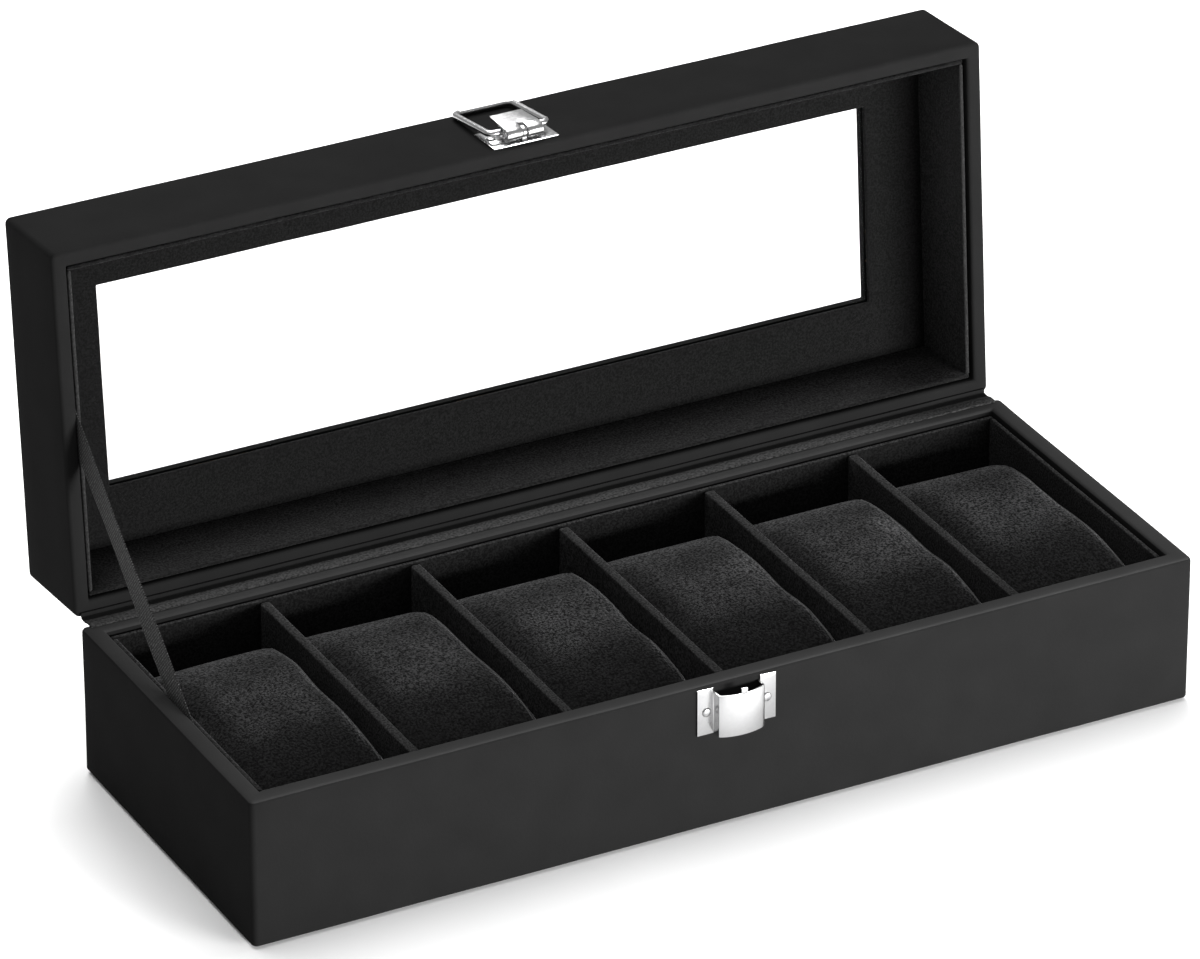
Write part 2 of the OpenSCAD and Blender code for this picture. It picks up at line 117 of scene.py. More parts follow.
FLOOR_HALF, SKY_STRENGTH = 3.0, 0.38
paper, tree, shader = material("matt_white_paper", Roughness=0.9)
fibres = add(tree, "ShaderNodeTexNoise", {"Scale": 60.0, "Detail": 4.0})
tone = add(tree, "ShaderNodeMix", {"Factor": fibres.outputs[0], "A": linear("#f4f4f4"),
                                   "B": linear("#fafafa")}, data_type="RGBA")
tree.links.new(tone.outputs["Result"], shader.inputs["Base Color"])
floor = mesh_piece("floor", [(x * FLOOR_HALF, y * FLOOR_HALF, 0) for x, y in
                             ((-1, -1), (1, -1), (1, 1), (-1, 1))], [(0, 1, 2, 3)], paper)

world = bpy.data.worlds.new("studio")
bpy.context.scene.world = world
world.use_nodes = True
world.node_tree.nodes["Background"].inputs["Color"].default_value = (1, 1, 1, 1)
world.node_tree.nodes["Background"].inputs["Strength"].default_value = SKY_STRENGTH


def softbox(name, position, target, width, height, watts):
    """A rectangular area light that faces a target."""
    lamp = bpy.data.lights.new(name, "AREA")
    lamp.shape, lamp.size, lamp.size_y, lamp.energy = "RECTANGLE", width, height, watts
    made = bpy.data.objects.new(name, lamp)
    bpy.context.scene.collection.objects.link(made)
    made.matrix_world = aimed(position, target)


LIT_SPOT = (0, 0, 0.05)
softbox("overhead", (0.0, 0.4, 1.6), LIT_SPOT, 1.8, 1.5, 28)
softbox("back_right", (0.25, 1.0, 1.0), LIT_SPOT, 0.6, 0.5, 20)
softbox("front_right", (0.4, -0.85, 0.1), LIT_SPOT, 0.5, 0.14, 25)

CAMERA_AZIMUTH, CAMERA_ELEVATION, CAMERA_ROLL = map(math.radians, (-27.43, 28.26, -0.17))
CAMERA_DISTANCE = 2.416
CAMERA_TARGET = Vector((-0.0233, -0.0201, 0.0989))
SENSOR_WIDTH, FOCAL_LENGTH = 36, 259.2
back = Vector((math.sin(CAMERA_AZIMUTH) * math.cos(CAMERA_ELEVATION),
               -math.cos(CAMERA_AZIMUTH) * math.cos(CAMERA_ELEVATION),
               math.sin(CAMERA_ELEVATION)))
lens = bpy.data.cameras.new("camera")
lens.sensor_width, lens.lens = SENSOR_WIDTH, FOCAL_LENGTH
lens.clip_start, lens.clip_end = 0.1, 20
camera = bpy.data.objects.new("camera", lens)
bpy.context.scene.collection.objects.link(camera)
camera.matrix_world = (aimed(CAMERA_TARGET + back * CAMERA_DISTANCE, CAMERA_TARGET)
                       @ Matrix.Rotation(CAMERA_ROLL, 4, "Z"))
bpy.context.scene.camera = camera
bpy.context.scene.view_settings.view_transform = "Standard"


# ---------------------------------------------------------------------------------
# Leathercloth on the base: a black PU-coated cloth 0.7 mm thick, glued round the
# boards, rolled over the rim and turned in. Calendered with a fine mat grain, so it
# shows hardly any gloss. Its band along the top of the rim is painted paler: a painted
# highlight for the light its rolled edge catches.

def leathercloth(name, dark, light):
    """Black PU leathercloth: two close blacks in broad clouds, and a pebble grain that is
    drawn 0.9 mm across so that it shows."""
    pebble, cloud = 0.9 * MM, 14 * MM
    made, tree, shader = material(name, IOR=1.5, Specular_IOR_Level=0.001)
    place = add(tree, "ShaderNodeTexCoord").outputs["Object"]
    cells = add(tree, "ShaderNodeTexVoronoi", {"Vector": place, "Scale": 1 / pebble},
                feature="SMOOTH_F1")
    fine = add(tree, "ShaderNodeTexNoise", {"Vector": place, "Scale": 2.2 / pebble,
                                            "Detail": 3.0})
    broad = add(tree, "ShaderNodeTexNoise", {"Vector": place, "Scale": 1 / cloud,
                                             "Detail": 2.0})
    grain = add(tree, "ShaderNodeMath", {0: cells.outputs["Distance"],
                                         1: fine.outputs[0]}, operation="ADD")
    bump = add(tree, "ShaderNodeBump", {"Height": grain.outputs[0], "Strength": 0.35,
                                        "Distance": 0.06 * MM})
    colour = add(tree, "ShaderNodeMix", {"Factor": broad.outputs[0], "A": linear(dark),
                                         "B": linear(light)}, data_type="RGBA")
    rough = add(tree, "ShaderNodeMapRange", {"Value": fine.outputs[0], "To Min": 0.42,
                                             "To Max": 0.56})
    tree.links.new(colour.outputs["Result"], shader.inputs["Base Color"])
    tree.links.new(rough.outputs[0], shader.inputs["Roughness"])
    tree.links.new(bump.outputs[0], shader.inputs["Normal"])
    return made


def rounded(path, steps=4, run=7 * MM):
    """A closed outline with rounded corners and points along its straight runs.
    Each point of the path is (x, y, radius)."""
    points = []
    for i, (x, y, radius) in enumerate(path):
        here = Vector((x, y))
        if not radius:
            points.append(here)
            continue
        to_last = (Vector(path[i - 1][:2]) - here).normalized()
        to_next = (Vector(path[(i + 1) % len(path)][:2]) - here).normalized()
        half = to_last.angle(to_next) / 2
        centre = here + (to_last + to_next).normalized() * radius / math.sin(half)
        first = here + to_last * radius / math.tan(half) - centre
        last = here + to_next * radius / math.tan(half) - centre
        turn = first.angle(last)
        points += [centre + (first * math.sin((1 - k / steps) * turn)
                             + last * math.sin(k / steps * turn)) / math.sin(turn)
                   for k in range(steps + 1)]
    filled = []
    for here, after in zip(points, points[1:] + points[:1]):
        count = max(1, round((after - here).length / run))
        filled += [here.lerp(after, k / count) for k in range(count)]
    return filled


NOISE_SEED = 1
noise.seed_set(NOISE_SEED)


def waver(obj, amount, size):
    """Moves a mesh's points by a smooth noise, as nothing covered by hand is quite flat. The
    noise is seeded, so that every run gives the same unevenness."""
    for vert in obj.data.vertices:
        vert.co += noise.noise_vector(vert.co / size) * amount
    obj.data.update()
    return obj


def wrapped(name, half_l, half_w, corner, path, look, steps=5, run=7 * MM):
    """A closed profile of (inset, height, radius) points carried round a rectangle."""
    profile, tight, verts = rounded(path), 0.4 * MM, []
    for inset, height in profile:
        radius, arcs, ring = max(corner - inset, tight), [], []
        for side, (sx, sy) in enumerate(((1, 1), (-1, 1), (-1, -1), (1, -1))):
            centre = Vector((sx * (half_l - inset - radius), sy * (half_w - inset - radius)))
            angles = [math.pi / 2 * (side + k / steps) for k in range(steps + 1)]
            arcs.append([centre + radius * Vector((math.cos(a), math.sin(a))) for a in angles])
        for side in range(4):
            count = round(2 * (half_w if side % 2 else half_l) / run)
            last, first = arcs[side][-1], arcs[(side + 1) % 4][0]
            ring += arcs[side] + [last.lerp(first, k / count) for k in range(1, count)]
        verts += [(p.x, p.y, height) for p in ring]
    rows, loop = len(profile), len(ring)
    faces = [(r * loop + i, r * loop + (i + 1) % loop,
              (r + 1) % rows * loop + (i + 1) % loop, (r + 1) % rows * loop + i)
             for r in range(rows) for i in range(loop)]
    return mesh_piece(name, verts, faces, look)


WRAP, CLOTH_CORNER = 0.7 * MM, 1.8 * MM
CLOTH_WAVER, CLOTH_WAVE = 0.12 * MM, 30 * MM
BASE_WALL, LID_WALL = 5.6 * MM, 4.6 * MM
foot_lap, base_turn, rim_highlight_band = 10 * MM, 12 * MM, 0.5 * MM
low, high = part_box("base_wrap")
base_l, base_w, base_foot, base_rim = high.x, high.y, low.z, high.z
cloth_look = leathercloth("black_pu_leathercloth", "#171717", "#1c1c1c")
base_cloth = wrapped("base_leathercloth", base_l, base_w, CLOTH_CORNER, [
    (foot_lap, base_foot, 0), (0, base_foot, 0.9 * MM), (0, base_rim, 1.3 * MM),
    (BASE_WALL, base_rim, 1 * MM), (BASE_WALL, base_rim - base_turn, 0),
    (BASE_WALL - WRAP, base_rim - base_turn, 0),
    (BASE_WALL - WRAP, base_rim - WRAP, 0.4 * MM), (WRAP, base_rim - WRAP, 0.6 * MM),
    (WRAP, base_foot + WRAP, 0.3 * MM), (foot_lap, base_foot + WRAP, 0)], cloth_look)
# The top band of the rim takes a paler copy of the cloth: a painted highlight, not a different
# cloth.
base_cloth.data.materials.append(leathercloth("leathercloth_painted_rim_highlight", "#292929",
                                              "#303030"))
for patch in base_cloth.data.polygons:
    if patch.center.z > base_rim - rim_highlight_band:
        patch.material_index = 1
waver(base_cloth, CLOTH_WAVER, CLOTH_WAVE)
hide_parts("base_wrap")
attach(base_cloth, "base")


# ---------------------------------------------------------------------------------
# The base's carcass: five boards of medium-density fibreboard, sawn and glued at
# their edges. The leathercloth hides all but their inner faces under the lining.

def board_look():
    """Sanded fibreboard: tan, with short darker fibres and a mat surface."""
    fibre = 1.5 * MM
    made, tree, shader = material("raw_fibreboard", Roughness=0.85)
    place = add(tree, "ShaderNodeTexCoord").outputs["Object"]
    flecks = add(tree, "ShaderNodeTexNoise", {"Vector": place, "Scale": 1 / fibre,
                                              "Detail": 5.0, "Distortion": 1.5})
    tone = add(tree, "ShaderNodeMix", {"Factor": flecks.outputs[0], "A": linear("#8a6a48"),
                                       "B": linear("#c7a67c")}, data_type="RGBA")
    bump = add(tree, "ShaderNodeBump", {"Height": flecks.outputs[0], "Strength": 0.3,
                                        "Distance": 0.05 * MM})
    tree.links.new(tone.outputs["Result"], shader.inputs["Base Color"])
    tree.links.new(bump.outputs[0], shader.inputs["Normal"])
    return made


def finish(names, look):
    """Gives a material to CAD nodes that are shown as they are."""
    for name in names:
        node = frame["nodes"][name]
        node.data.materials.clear()
        node.data.materials.append(look)


fibreboard = board_look()
finish(["base_bottom_board", "base_front_board", "base_back_board", "base_left_board",
        "base_right_board"], fibreboard)


# ---------------------------------------------------------------------------------
# The felt under the base: a sheet of black pressed wool felt, glued flat over the
# turned-in edges of the leathercloth, so that the box doesn't scratch a table.

def card(name, low, high, edge, look, puff=0.12 * MM):
    """A covered card in place of a box: rounded edges, and faces that aren't quite flat."""
    size, centre = high - low, (low + high) / 2
    along = max(range(3), key=lambda i: size[i])
    a, b = [i for i in range(3) if i != along]
    half_a, half_b, half = size[a] / 2, size[b] / 2, size[along] / 2
    edge = min(edge, half_a * 0.95, half_b * 0.95)
    outline = rounded([(half_a, half_b, edge), (-half_a, half_b, edge),
                       (-half_a, -half_b, edge), (half_a, -half_b, edge)])
    count = max(2, round(2 * half / (7 * MM)))
    inner = half - edge
    rings = [(-half, edge), (-half + 0.3 * edge, 0.29 * edge)]
    rings += [(-inner + 2 * inner * k / count, 0) for k in range(count + 1)]
    rings += [(half - 0.3 * edge, 0.29 * edge), (half, edge)]
    verts = []
    for place, inset in rings:
        for p in outline:
            spot = [0, 0, 0]
            spot[along] = place
            spot[a] = p.x - math.copysign(min(inset, abs(p.x)), p.x)
            spot[b] = p.y - math.copysign(min(inset, abs(p.y)), p.y)
            verts.append(Vector(spot) + centre)
    n = len(outline)
    faces = [(r * n + i, r * n + (i + 1) % n, (r + 1) * n + (i + 1) % n, (r + 1) * n + i)
             for r in range(len(rings) - 1) for i in range(n)]
    faces += [tuple(range(n)), tuple((len(rings) - 1) * n + i for i in range(n))]
    return waver(mesh_piece(name, verts, faces, look), puff, 16 * MM)


def felt_look():
    """Pressed felt: a matted tangle of fibres about 1 mm long."""
    made, tree, shader = material("black_pressed_felt", Roughness=1.0, Sheen_Weight=0.25,
                                  Sheen_Roughness=0.6)
    place = add(tree, "ShaderNodeTexCoord").outputs["Object"]
    tangle = add(tree, "ShaderNodeTexNoise", {"Vector": place, "Scale": 1000.0,
                                              "Detail": 6.0, "Distortion": 3.0})
    tone = add(tree, "ShaderNodeMix", {"Factor": tangle.outputs[0], "A": linear("#0e0e0f"),
                                       "B": linear("#2a2a2b")}, data_type="RGBA")
    bump = add(tree, "ShaderNodeBump", {"Height": tangle.outputs[0], "Strength": 0.8,
                                        "Distance": 0.2 * MM})
    tree.links.new(tone.outputs["Result"], shader.inputs["Base Color"])
    tree.links.new(bump.outputs[0], shader.inputs["Normal"])
    return made


low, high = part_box("underside_felt")
felt = card("felt_sheet", low, high, 0.3 * MM, felt_look(), 0)
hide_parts("underside_felt")
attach(felt, "base")


# ---------------------------------------------------------------------------------
# The base's lining: cards covered in short-pile black velvet, a floor card, four wall
# cards and five dividers that part the well into six compartments. Their upward faces
# are painted paler than the rest: a painted highlight for the light that falls on the tops.

def velvet_look(name, dark, light, sheen, spread, speck=0.6 * MM):
    """Short-pile velvet: the tips of the pile catch the light at grazing angles, in
    specks about as wide as the tufts."""
    made, tree, shader = material(name, Roughness=1.0, IOR=1.3, Specular_IOR_Level=0.2,
                                  Sheen_Roughness=spread, Sheen_Tint=linear("#e8e8ea"))
    place = add(tree, "ShaderNodeTexCoord").outputs["Object"]
    tufts = add(tree, "ShaderNodeTexNoise", {"Vector": place, "Scale": 1 / speck,
                                             "Detail": 2.0, "Roughness": 0.7})
    stroke = add(tree, "ShaderNodeTexNoise", {"Vector": place, "Scale": 1 / (9 * MM),
                                              "Detail": 2.0})
    contrast = add(tree, "ShaderNodeMapRange", {"Value": tufts.outputs[0], "From Min": 0.4,
                                                "From Max": 0.62})
    tone = add(tree, "ShaderNodeMix", {"Factor": contrast.outputs[0], "A": linear(dark),
                                       "B": linear(light)}, data_type="RGBA")
    lay = add(tree, "ShaderNodeMapRange", {"Value": stroke.outputs[0], "From Min": 0.3,
                                           "From Max": 0.7, "To Min": 0.75, "To Max": 1.15})
    tips = add(tree, "ShaderNodeMapRange", {"Value": contrast.outputs[0],
                                            "To Min": 0.1 * sheen, "To Max": 1.9 * sheen})
    gloss = add(tree, "ShaderNodeMath", {0: tips.outputs[0], 1: lay.outputs[0]},
                operation="MULTIPLY")
    bump = add(tree, "ShaderNodeBump", {"Height": tufts.outputs[0], "Strength": 0.5,
                                        "Distance": 0.15 * MM})
    tree.links.new(tone.outputs["Result"], shader.inputs["Base Color"])
    tree.links.new(gloss.outputs[0], shader.inputs["Sheen Weight"])
    tree.links.new(bump.outputs[0], shader.inputs["Normal"])
    return made


lining_velvet = velvet_look("black_lining_velvet", "#080808", "#151515", 0.04, 0.5)
# A paler copy of the lining velvet for the faces that look up: a painted highlight.
painted_highlight_velvet = velvet_look("velvet_painted_highlight_tops", "#111111", "#2a2a2a", 0.05, 0.5)
FACES_UP = 0.6
for node, edge in (("floor_liner", 0.4), ("base_front_liner", 0.7), ("base_back_liner", 0.7),
                   ("base_left_liner", 0.7), ("base_right_liner", 0.7), ("divider_1", 0.6),
                   ("divider_2", 0.6), ("divider_3", 0.6), ("divider_4", 0.6),
                   ("divider_5", 0.6)):
    piece = card("velvet_" + node, *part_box(node), edge * MM, lining_velvet)
    if node != "floor_liner":
        piece.data.materials.append(painted_highlight_velvet)
        for patch in piece.data.polygons:
            patch.material_index = int(patch.normal.z > FACES_UP)
    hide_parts(node)
    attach(piece, "base")


# ---------------------------------------------------------------------------------
# The strike on the front of the base: a plate pressed from nickel-plated steel, its
# middle bowed out into the hook that the bail catches, and nailed through its ears.

def nickel_look(name, colour="#b2b2b3", rough=0.22):
    """Bright nickel plate: faint rubbing marks and a slightly uneven gloss."""
    made, tree, shader = material(name, Metallic=1.0)
    place = add(tree, "ShaderNodeTexCoord").outputs["Object"]
    marks = add(tree, "ShaderNodeTexNoise", {"Vector": place, "Scale": 1 / (0.9 * MM),
                                             "Detail": 6.0})
    gloss = add(tree, "ShaderNodeMapRange", {"Value": marks.outputs[0], "To Min": rough - 0.06,
                                             "To Max": rough + 0.08})
    tone = add(tree, "ShaderNodeMix", {"Factor": marks.outputs[0], "A": linear(colour),
                                       "B": linear("#c0c0c0")}, data_type="RGBA")
    tree.links.new(tone.outputs["Result"], shader.inputs["Base Color"])
    tree.links.new(gloss.outputs[0], shader.inputs["Roughness"])
    return made


def pressed(name, rows, missing, thick, look, edge=0.12 * MM):
    """Sheet metal from a grid of points on its middle plane. Cells named in missing, by
    row and column, are cut away, and every edge is eased."""
    height, width = len(rows), len(rows[0])
    front, back, outer = [], [], set()
    for r in range(height):
        for c in range(width):
            run = rows[r][min(c + 1, width - 1)] - rows[r][max(c - 1, 0)]
            rise = rows[min(r + 1, height - 1)][c] - rows[max(r - 1, 0)][c]
            normal = run.cross(rise).normalized() * thick / 2
            front.append(rows[r][c] + normal)
            back.append(rows[r][c] - normal)
    faces, total = [], len(front)
    for r in range(height - 1):
        for c in range(width - 1):
            if (r, c) in missing:
                continue
            quad = (r * width + c, r * width + c + 1, (r + 1) * width + c + 1,
                    (r + 1) * width + c)
            faces += [quad, tuple(i + total for i in reversed(quad))]
            outer |= set(zip(quad, quad[1:] + quad[:1]))
    faces += [(b, a, a + total, b + total) for a, b in outer if (b, a) not in outer]
    bm = bmesh.new()
    made = [bm.verts.new(p) for p in front + back]
    for face in sorted(faces):
        bm.faces.new([made[i] for i in face])
    bmesh.ops.delete(bm, geom=[v for v in bm.verts if not v.link_faces], context="VERTS")
    bm.normal_update()
    sharp = [e for e in bm.edges if e.calc_face_angle(0) > math.radians(50)]
    bmesh.ops.bevel(bm, geom=sharp, offset=edge, segments=2, affect="EDGES", profile=0.5)
    bm.verts.index_update()
    verts = [v.co.copy() for v in bm.verts]
    faces = [tuple(v.index for v in f.verts) for f in bm.faces]
    bm.free()
    return mesh_piece(name, verts, faces, look, 35)


def turned(name, profile, places, axis, look, sides=28):
    """Solids of revolution of one (radius, distance) profile, along an axis at places."""
    turn = Vector(axis).to_track_quat("Z", "Y").to_matrix()
    verts, faces = [], []
    for place in places:
        first = len(verts)
        for radius, along in profile:
            for k in range(sides):
                angle = 2 * math.pi * k / sides
                verts.append(turn @ Vector((radius * math.cos(angle), radius * math.sin(angle),
                                            along)) + Vector(place))
        rows = len(profile)
        faces += [(first + r * sides + k, first + r * sides + (k + 1) % sides,
                   first + (r + 1) * sides + (k + 1) % sides, first + (r + 1) * sides + k)
                  for r in range(rows - 1) for k in range(sides)]
        faces += [tuple(first + k for k in range(sides)),
                  tuple(first + (rows - 1) * sides + k for k in range(sides))]
    return mesh_piece(name, verts, faces, look, 45)


def joined(name, first, *others):
    """One piece from several, welded or rolled from the same metal."""
    bm = bmesh.new()
    for obj in (first, *others):
        bm.from_mesh(obj.data)
    bm.to_mesh(first.data)
    bm.free()
    for obj in others:
        bpy.data.objects.remove(obj)
    first.name = name
    return first


SHEET, SHEET_EDGE, NAIL_HEAD = 0.6 * MM, 0.15 * MM, 1.4 * MM
NAIL = [(0.6 * MM, -4.4 * MM), (0.6 * MM, 0), (1.35 * MM, 0), (NAIL_HEAD, 0.12 * MM),
        (1.3 * MM, 0.3 * MM), (1.0 * MM, 0.43 * MM), (0.55 * MM, 0.5 * MM),
        (0.1 * MM, 0.52 * MM)]
nickel = nickel_look("nickel_plated_steel")
# The nail heads take a darker copy of the nickel: painted shade, for the dark their domed heads
# show.
nail_steel_painted_dark = nickel_look("nickel_nails_painted_shade", "#4a4a4c", 0.34)

low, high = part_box("strike_plate")
clasp_x, face = (low.x + high.x) / 2, -base_w
hook_half, hook_out, hook_top = 7 * MM, 5.4 * MM, high.z - 1.3 * MM
flank, bow_turn = 3.9 * MM, 40
bow_sin, bow_cos = math.sin(math.radians(bow_turn)), math.cos(math.radians(bow_turn))
bow = [(hook_half * math.sin(math.radians(a)) / bow_sin,
        flank + (hook_out - flank) * (math.cos(math.radians(a)) - bow_cos) / (1 - bow_cos))
       for a in range(-bow_turn, bow_turn + 1, 5)]
across = ([(low.x - clasp_x, SHEET), (-hook_half - 0.5 * MM, SHEET),
           (-hook_half - 0.1 * MM, SHEET + 0.3 * MM), (-hook_half, SHEET + 0.8 * MM)]
          + bow + [(hook_half, SHEET + 0.8 * MM), (hook_half + 0.1 * MM, SHEET + 0.3 * MM),
                   (hook_half + 0.5 * MM, SHEET), (high.x - clasp_x, SHEET)])
rows = [[Vector((clasp_x + x, face - out + SHEET / 2, z)) for x, out in across]
        for z in (low.z, hook_top, high.z)]
strike = pressed("strike", rows, {(1, c) for c in range(1, len(across) - 2)}, SHEET, nickel)
tab_half, tab_root, tab_rise = 1 * MM, 0.5 * MM, 1.6 * MM
tab = card("stop_tab", Vector((clasp_x - tab_half, face - hook_out, hook_top - tab_root)),
           Vector((clasp_x + tab_half, face - hook_out + SHEET, hook_top + tab_rise)),
           SHEET_EDGE, nickel, 0)
strike = joined("strike_with_tab", strike, tab)
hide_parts("strike_plate")
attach(strike, "base")

low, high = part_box("strike_nails")
height, reach = (low.z + high.z) / 2, (high.x - low.x) / 2 - NAIL_HEAD
nails = turned("strike_nail_heads", NAIL, [(clasp_x + s * reach, face - SHEET, height)
                                           for s in (-1, 1)], (0, -1, 0), nail_steel_painted_dark)
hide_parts("strike_nails")
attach(nails, "base")


# ---------------------------------------------------------------------------------
# The lid's carcass: four fibreboard walls and a top board sawn out round the window.
# The lid is drawn shut, and then swung open about the line of its hinge.

finish(["lid_front_board", "lid_back_board", "lid_left_board", "lid_right_board",
        "lid_top_board"], fibreboard)
hinge = next(j for j in frame["joints"] if j["name"] == "lid_hinge")
hinge_line = Vector(hinge["pos_m"])
open_angle = math.radians(-hinge["range_deg"][0])
OPEN = (Matrix.Translation(hinge_line) @ Matrix.Rotation(-open_angle, 4, "X")
        @ Matrix.Translation(-hinge_line))


def shut_box(node):
    """(lowest corner, highest corner) of a piece of the lid, as if the lid were shut."""
    points = [OPEN.inverted() @ v.co for v in frame["nodes"][node].data.vertices]
    return (Vector([min(p[i] for p in points) for i in range(3)]),
            Vector([max(p[i] for p in points) for i in range(3)]))


def lid_piece(obj, body, slot, *nodes):
    """Swings a piece open with the lid, and puts it on a body in place of CAD nodes."""
    obj.data.transform(OPEN)
    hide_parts(*nodes)
    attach(obj, body)


# ---------------------------------------------------------------------------------
# Leathercloth on the lid: one piece over the top, cut out round the window, turned down
# its edge and in behind the board, then over the walls, round the rim and up inside.

low, high = shut_box("lid_wrap")
lid_l, lid_w, lid_rim, lid_top = high.x, high.y, low.z, high.z
glass_low, glass_high = shut_box("glass_pane")
pane_lap = 6 * MM
border = lid_l - (glass_high.x - pane_lap)
lid_turn, turn_in, skim = 8 * MM, 4 * MM, 0.03 * MM
lid_cloth = wrapped("lid_leathercloth", lid_l, lid_w, CLOTH_CORNER, [
    (LID_WALL, lid_rim + lid_turn, 0), (LID_WALL, lid_rim, 1 * MM), (0, lid_rim, 1.2 * MM),
    (0, lid_top, 1.6 * MM), (border, lid_top, 1 * MM), (border, glass_high.z - skim, 0),
    (border - turn_in, glass_high.z - skim, 0), (border - turn_in, glass_high.z + WRAP, 0),
    (border - WRAP, glass_high.z + WRAP, 0), (border - WRAP, lid_top - WRAP, 0.3 * MM),
    (WRAP, lid_top - WRAP, 0.9 * MM), (WRAP, lid_rim + WRAP, 0.5 * MM),
    (LID_WALL - WRAP, lid_rim + WRAP, 0.3 * MM),
    (LID_WALL - WRAP, lid_rim + lid_turn, 0)], cloth_look)
waver(lid_cloth, CLOTH_WAVER, CLOTH_WAVE)
lid_piece(lid_cloth, "lid", "leathercloth", "lid_wrap")


# ---------------------------------------------------------------------------------
# The window: a pane of clear float glass with eased edges, held against the top board
# by a velvet-covered card frame, and four wall cards that hold the frame down.

pane_look = material("clear_float_glass", Base_Color=linear("#0c1110"), Roughness=0.03,
                     IOR=1.5, Alpha=0.05)[0]
pane = card("window_pane", glass_low, glass_high, 0.3 * MM, pane_look, 0)
lid_piece(pane, "lid", "glass", "glass_pane")

low, high = shut_box("window_frame")
set_back, pane_play = 0.15 * MM, 0.3 * MM
inner = border + set_back
pocket = lid_l - glass_high.x - pane_play
# The frame's velvet is darker than the lining's: painted shade, against the light the front
# softbox throws on the frame.
frame_card = wrapped("velvet_window_frame", lid_l, lid_w, 0, [
    (lid_l - high.x, low.z, 0.5 * MM), (inner, low.z, 0.6 * MM),
    (inner, glass_low.z, 0.3 * MM), (pocket, glass_low.z, 0), (pocket, high.z, 0),
    (lid_l - high.x, high.z, 0)],
    velvet_look("black_frame_velvet_painted_shade", "#070707", "#101010", 0.04, 0.5))
waver(frame_card, 0.1 * MM, 20 * MM)
lid_piece(frame_card, "lid", "velvet_card", "window_frame")

# The lid's side liners take a paler copy of the velvet: painted light, for the light those walls
# catch.
painted_light_velvet = velvet_look("black_velvet_painted_light", "#1c1c1c", "#2a2a2a", 0.04, 0.5)
for node, look in (("lid_front_liner", lining_velvet), ("lid_back_liner", lining_velvet),
                   ("lid_left_liner", painted_light_velvet), ("lid_right_liner", painted_light_velvet)):
    piece = card("velvet_" + node, *shut_box(node), 0.55 * MM, look, 0.08 * MM)
    lid_piece(piece, "lid", "velvet_card", node)


# ---------------------------------------------------------------------------------
# The hinge: a woven tape glued along the base's back rim and the lid's, so that the
# cloth itself bends in the gap between them. Its weave shows as specks, drawn 0.7 mm
# wide so that they show. Its part on the lid's rim is faced in leathercloth.

tape_look, tree, shader = material("black_woven_hinge_tape", Roughness=0.8,
                                   Specular_IOR_Level=0.06, Sheen_Weight=0.05)
place = add(tree, "ShaderNodeTexCoord").outputs["Object"]
weave = add(tree, "ShaderNodeTexNoise", {"Vector": place, "Scale": 1 / (0.7 * MM),
                                         "Detail": 3.0})
specks = add(tree, "ShaderNodeMapRange", {"Value": weave.outputs[0], "From Min": 0.38,
                                          "From Max": 0.62})
tone = add(tree, "ShaderNodeMix", {"Factor": specks.outputs[0], "A": linear("#0c0c0c"),
                                   "B": linear("#343434")}, data_type="RGBA")
bump = add(tree, "ShaderNodeBump", {"Height": weave.outputs[0], "Strength": 0.4,
                                    "Distance": 0.1 * MM})
tree.links.new(tone.outputs["Result"], shader.inputs["Base Color"])
tree.links.new(bump.outputs[0], shader.inputs["Normal"])


def band(name, line, thick, places, look):
    """A strip of cloth: a line of (y, z) points, as thick as the cloth, drawn along x."""
    normals = []
    for i, p in enumerate(line):
        before, after = line[max(i - 1, 0)], line[min(i + 1, len(line) - 1)]
        run = Vector((after[0] - before[0], after[1] - before[1])).normalized()
        normals.append(Vector((-run.y, run.x)) * thick / 2)
    outline = [Vector(p) + n for p, n in zip(line, normals)]
    outline += [Vector(p) - n for p, n in reversed(list(zip(line, normals)))]
    count = len(outline)
    verts = [(x, p.x, p.y) for x in places for p in outline]
    faces = [(r * count + i, r * count + (i + 1) % count,
              (r + 1) * count + (i + 1) % count, (r + 1) * count + i)
             for r in range(len(places) - 1) for i in range(count)]
    faces += [tuple(range(count)), tuple((len(places) - 1) * count + i for i in range(count))]
    return mesh_piece(name, verts, faces, look)


low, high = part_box("hinge_strip")
strip_t, fold_steps, count = 0.6 * MM, 8, 42
on_rim, on_lid = base_rim + strip_t / 2, high.y - strip_t / 2
line = [(low.y, on_rim), (low.y + 1.6 * MM, on_rim + 0.04 * MM), (base_w + 0.6 * MM, on_rim)]
fold_start, fold_bottom = base_w + 1.2 * MM, low.z + strip_t / 2 + 0.1 * MM
for k in range(1, fold_steps):
    turn = math.pi * k / fold_steps
    line.append((fold_start + (on_lid - fold_start) * (1 - math.cos(turn)) / 2,
                 on_rim - (on_rim - fold_bottom) * math.sin(turn)))
line += [(on_lid, base_rim + 0.4 * MM), (on_lid, high.z)]
strip = band("hinge_strip_cloth", line, strip_t,
             [low.x + (high.x - low.x) * k / count for k in range(count + 1)], tape_look)
waver(strip, 0.08 * MM, 12 * MM)
strip.data.materials.append(cloth_look)
faced_from = base_w + 2.2 * MM
for patch in strip.data.polygons:
    patch.material_index = int(patch.center.y > faced_from)
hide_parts("hinge_strip")
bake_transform(strip)
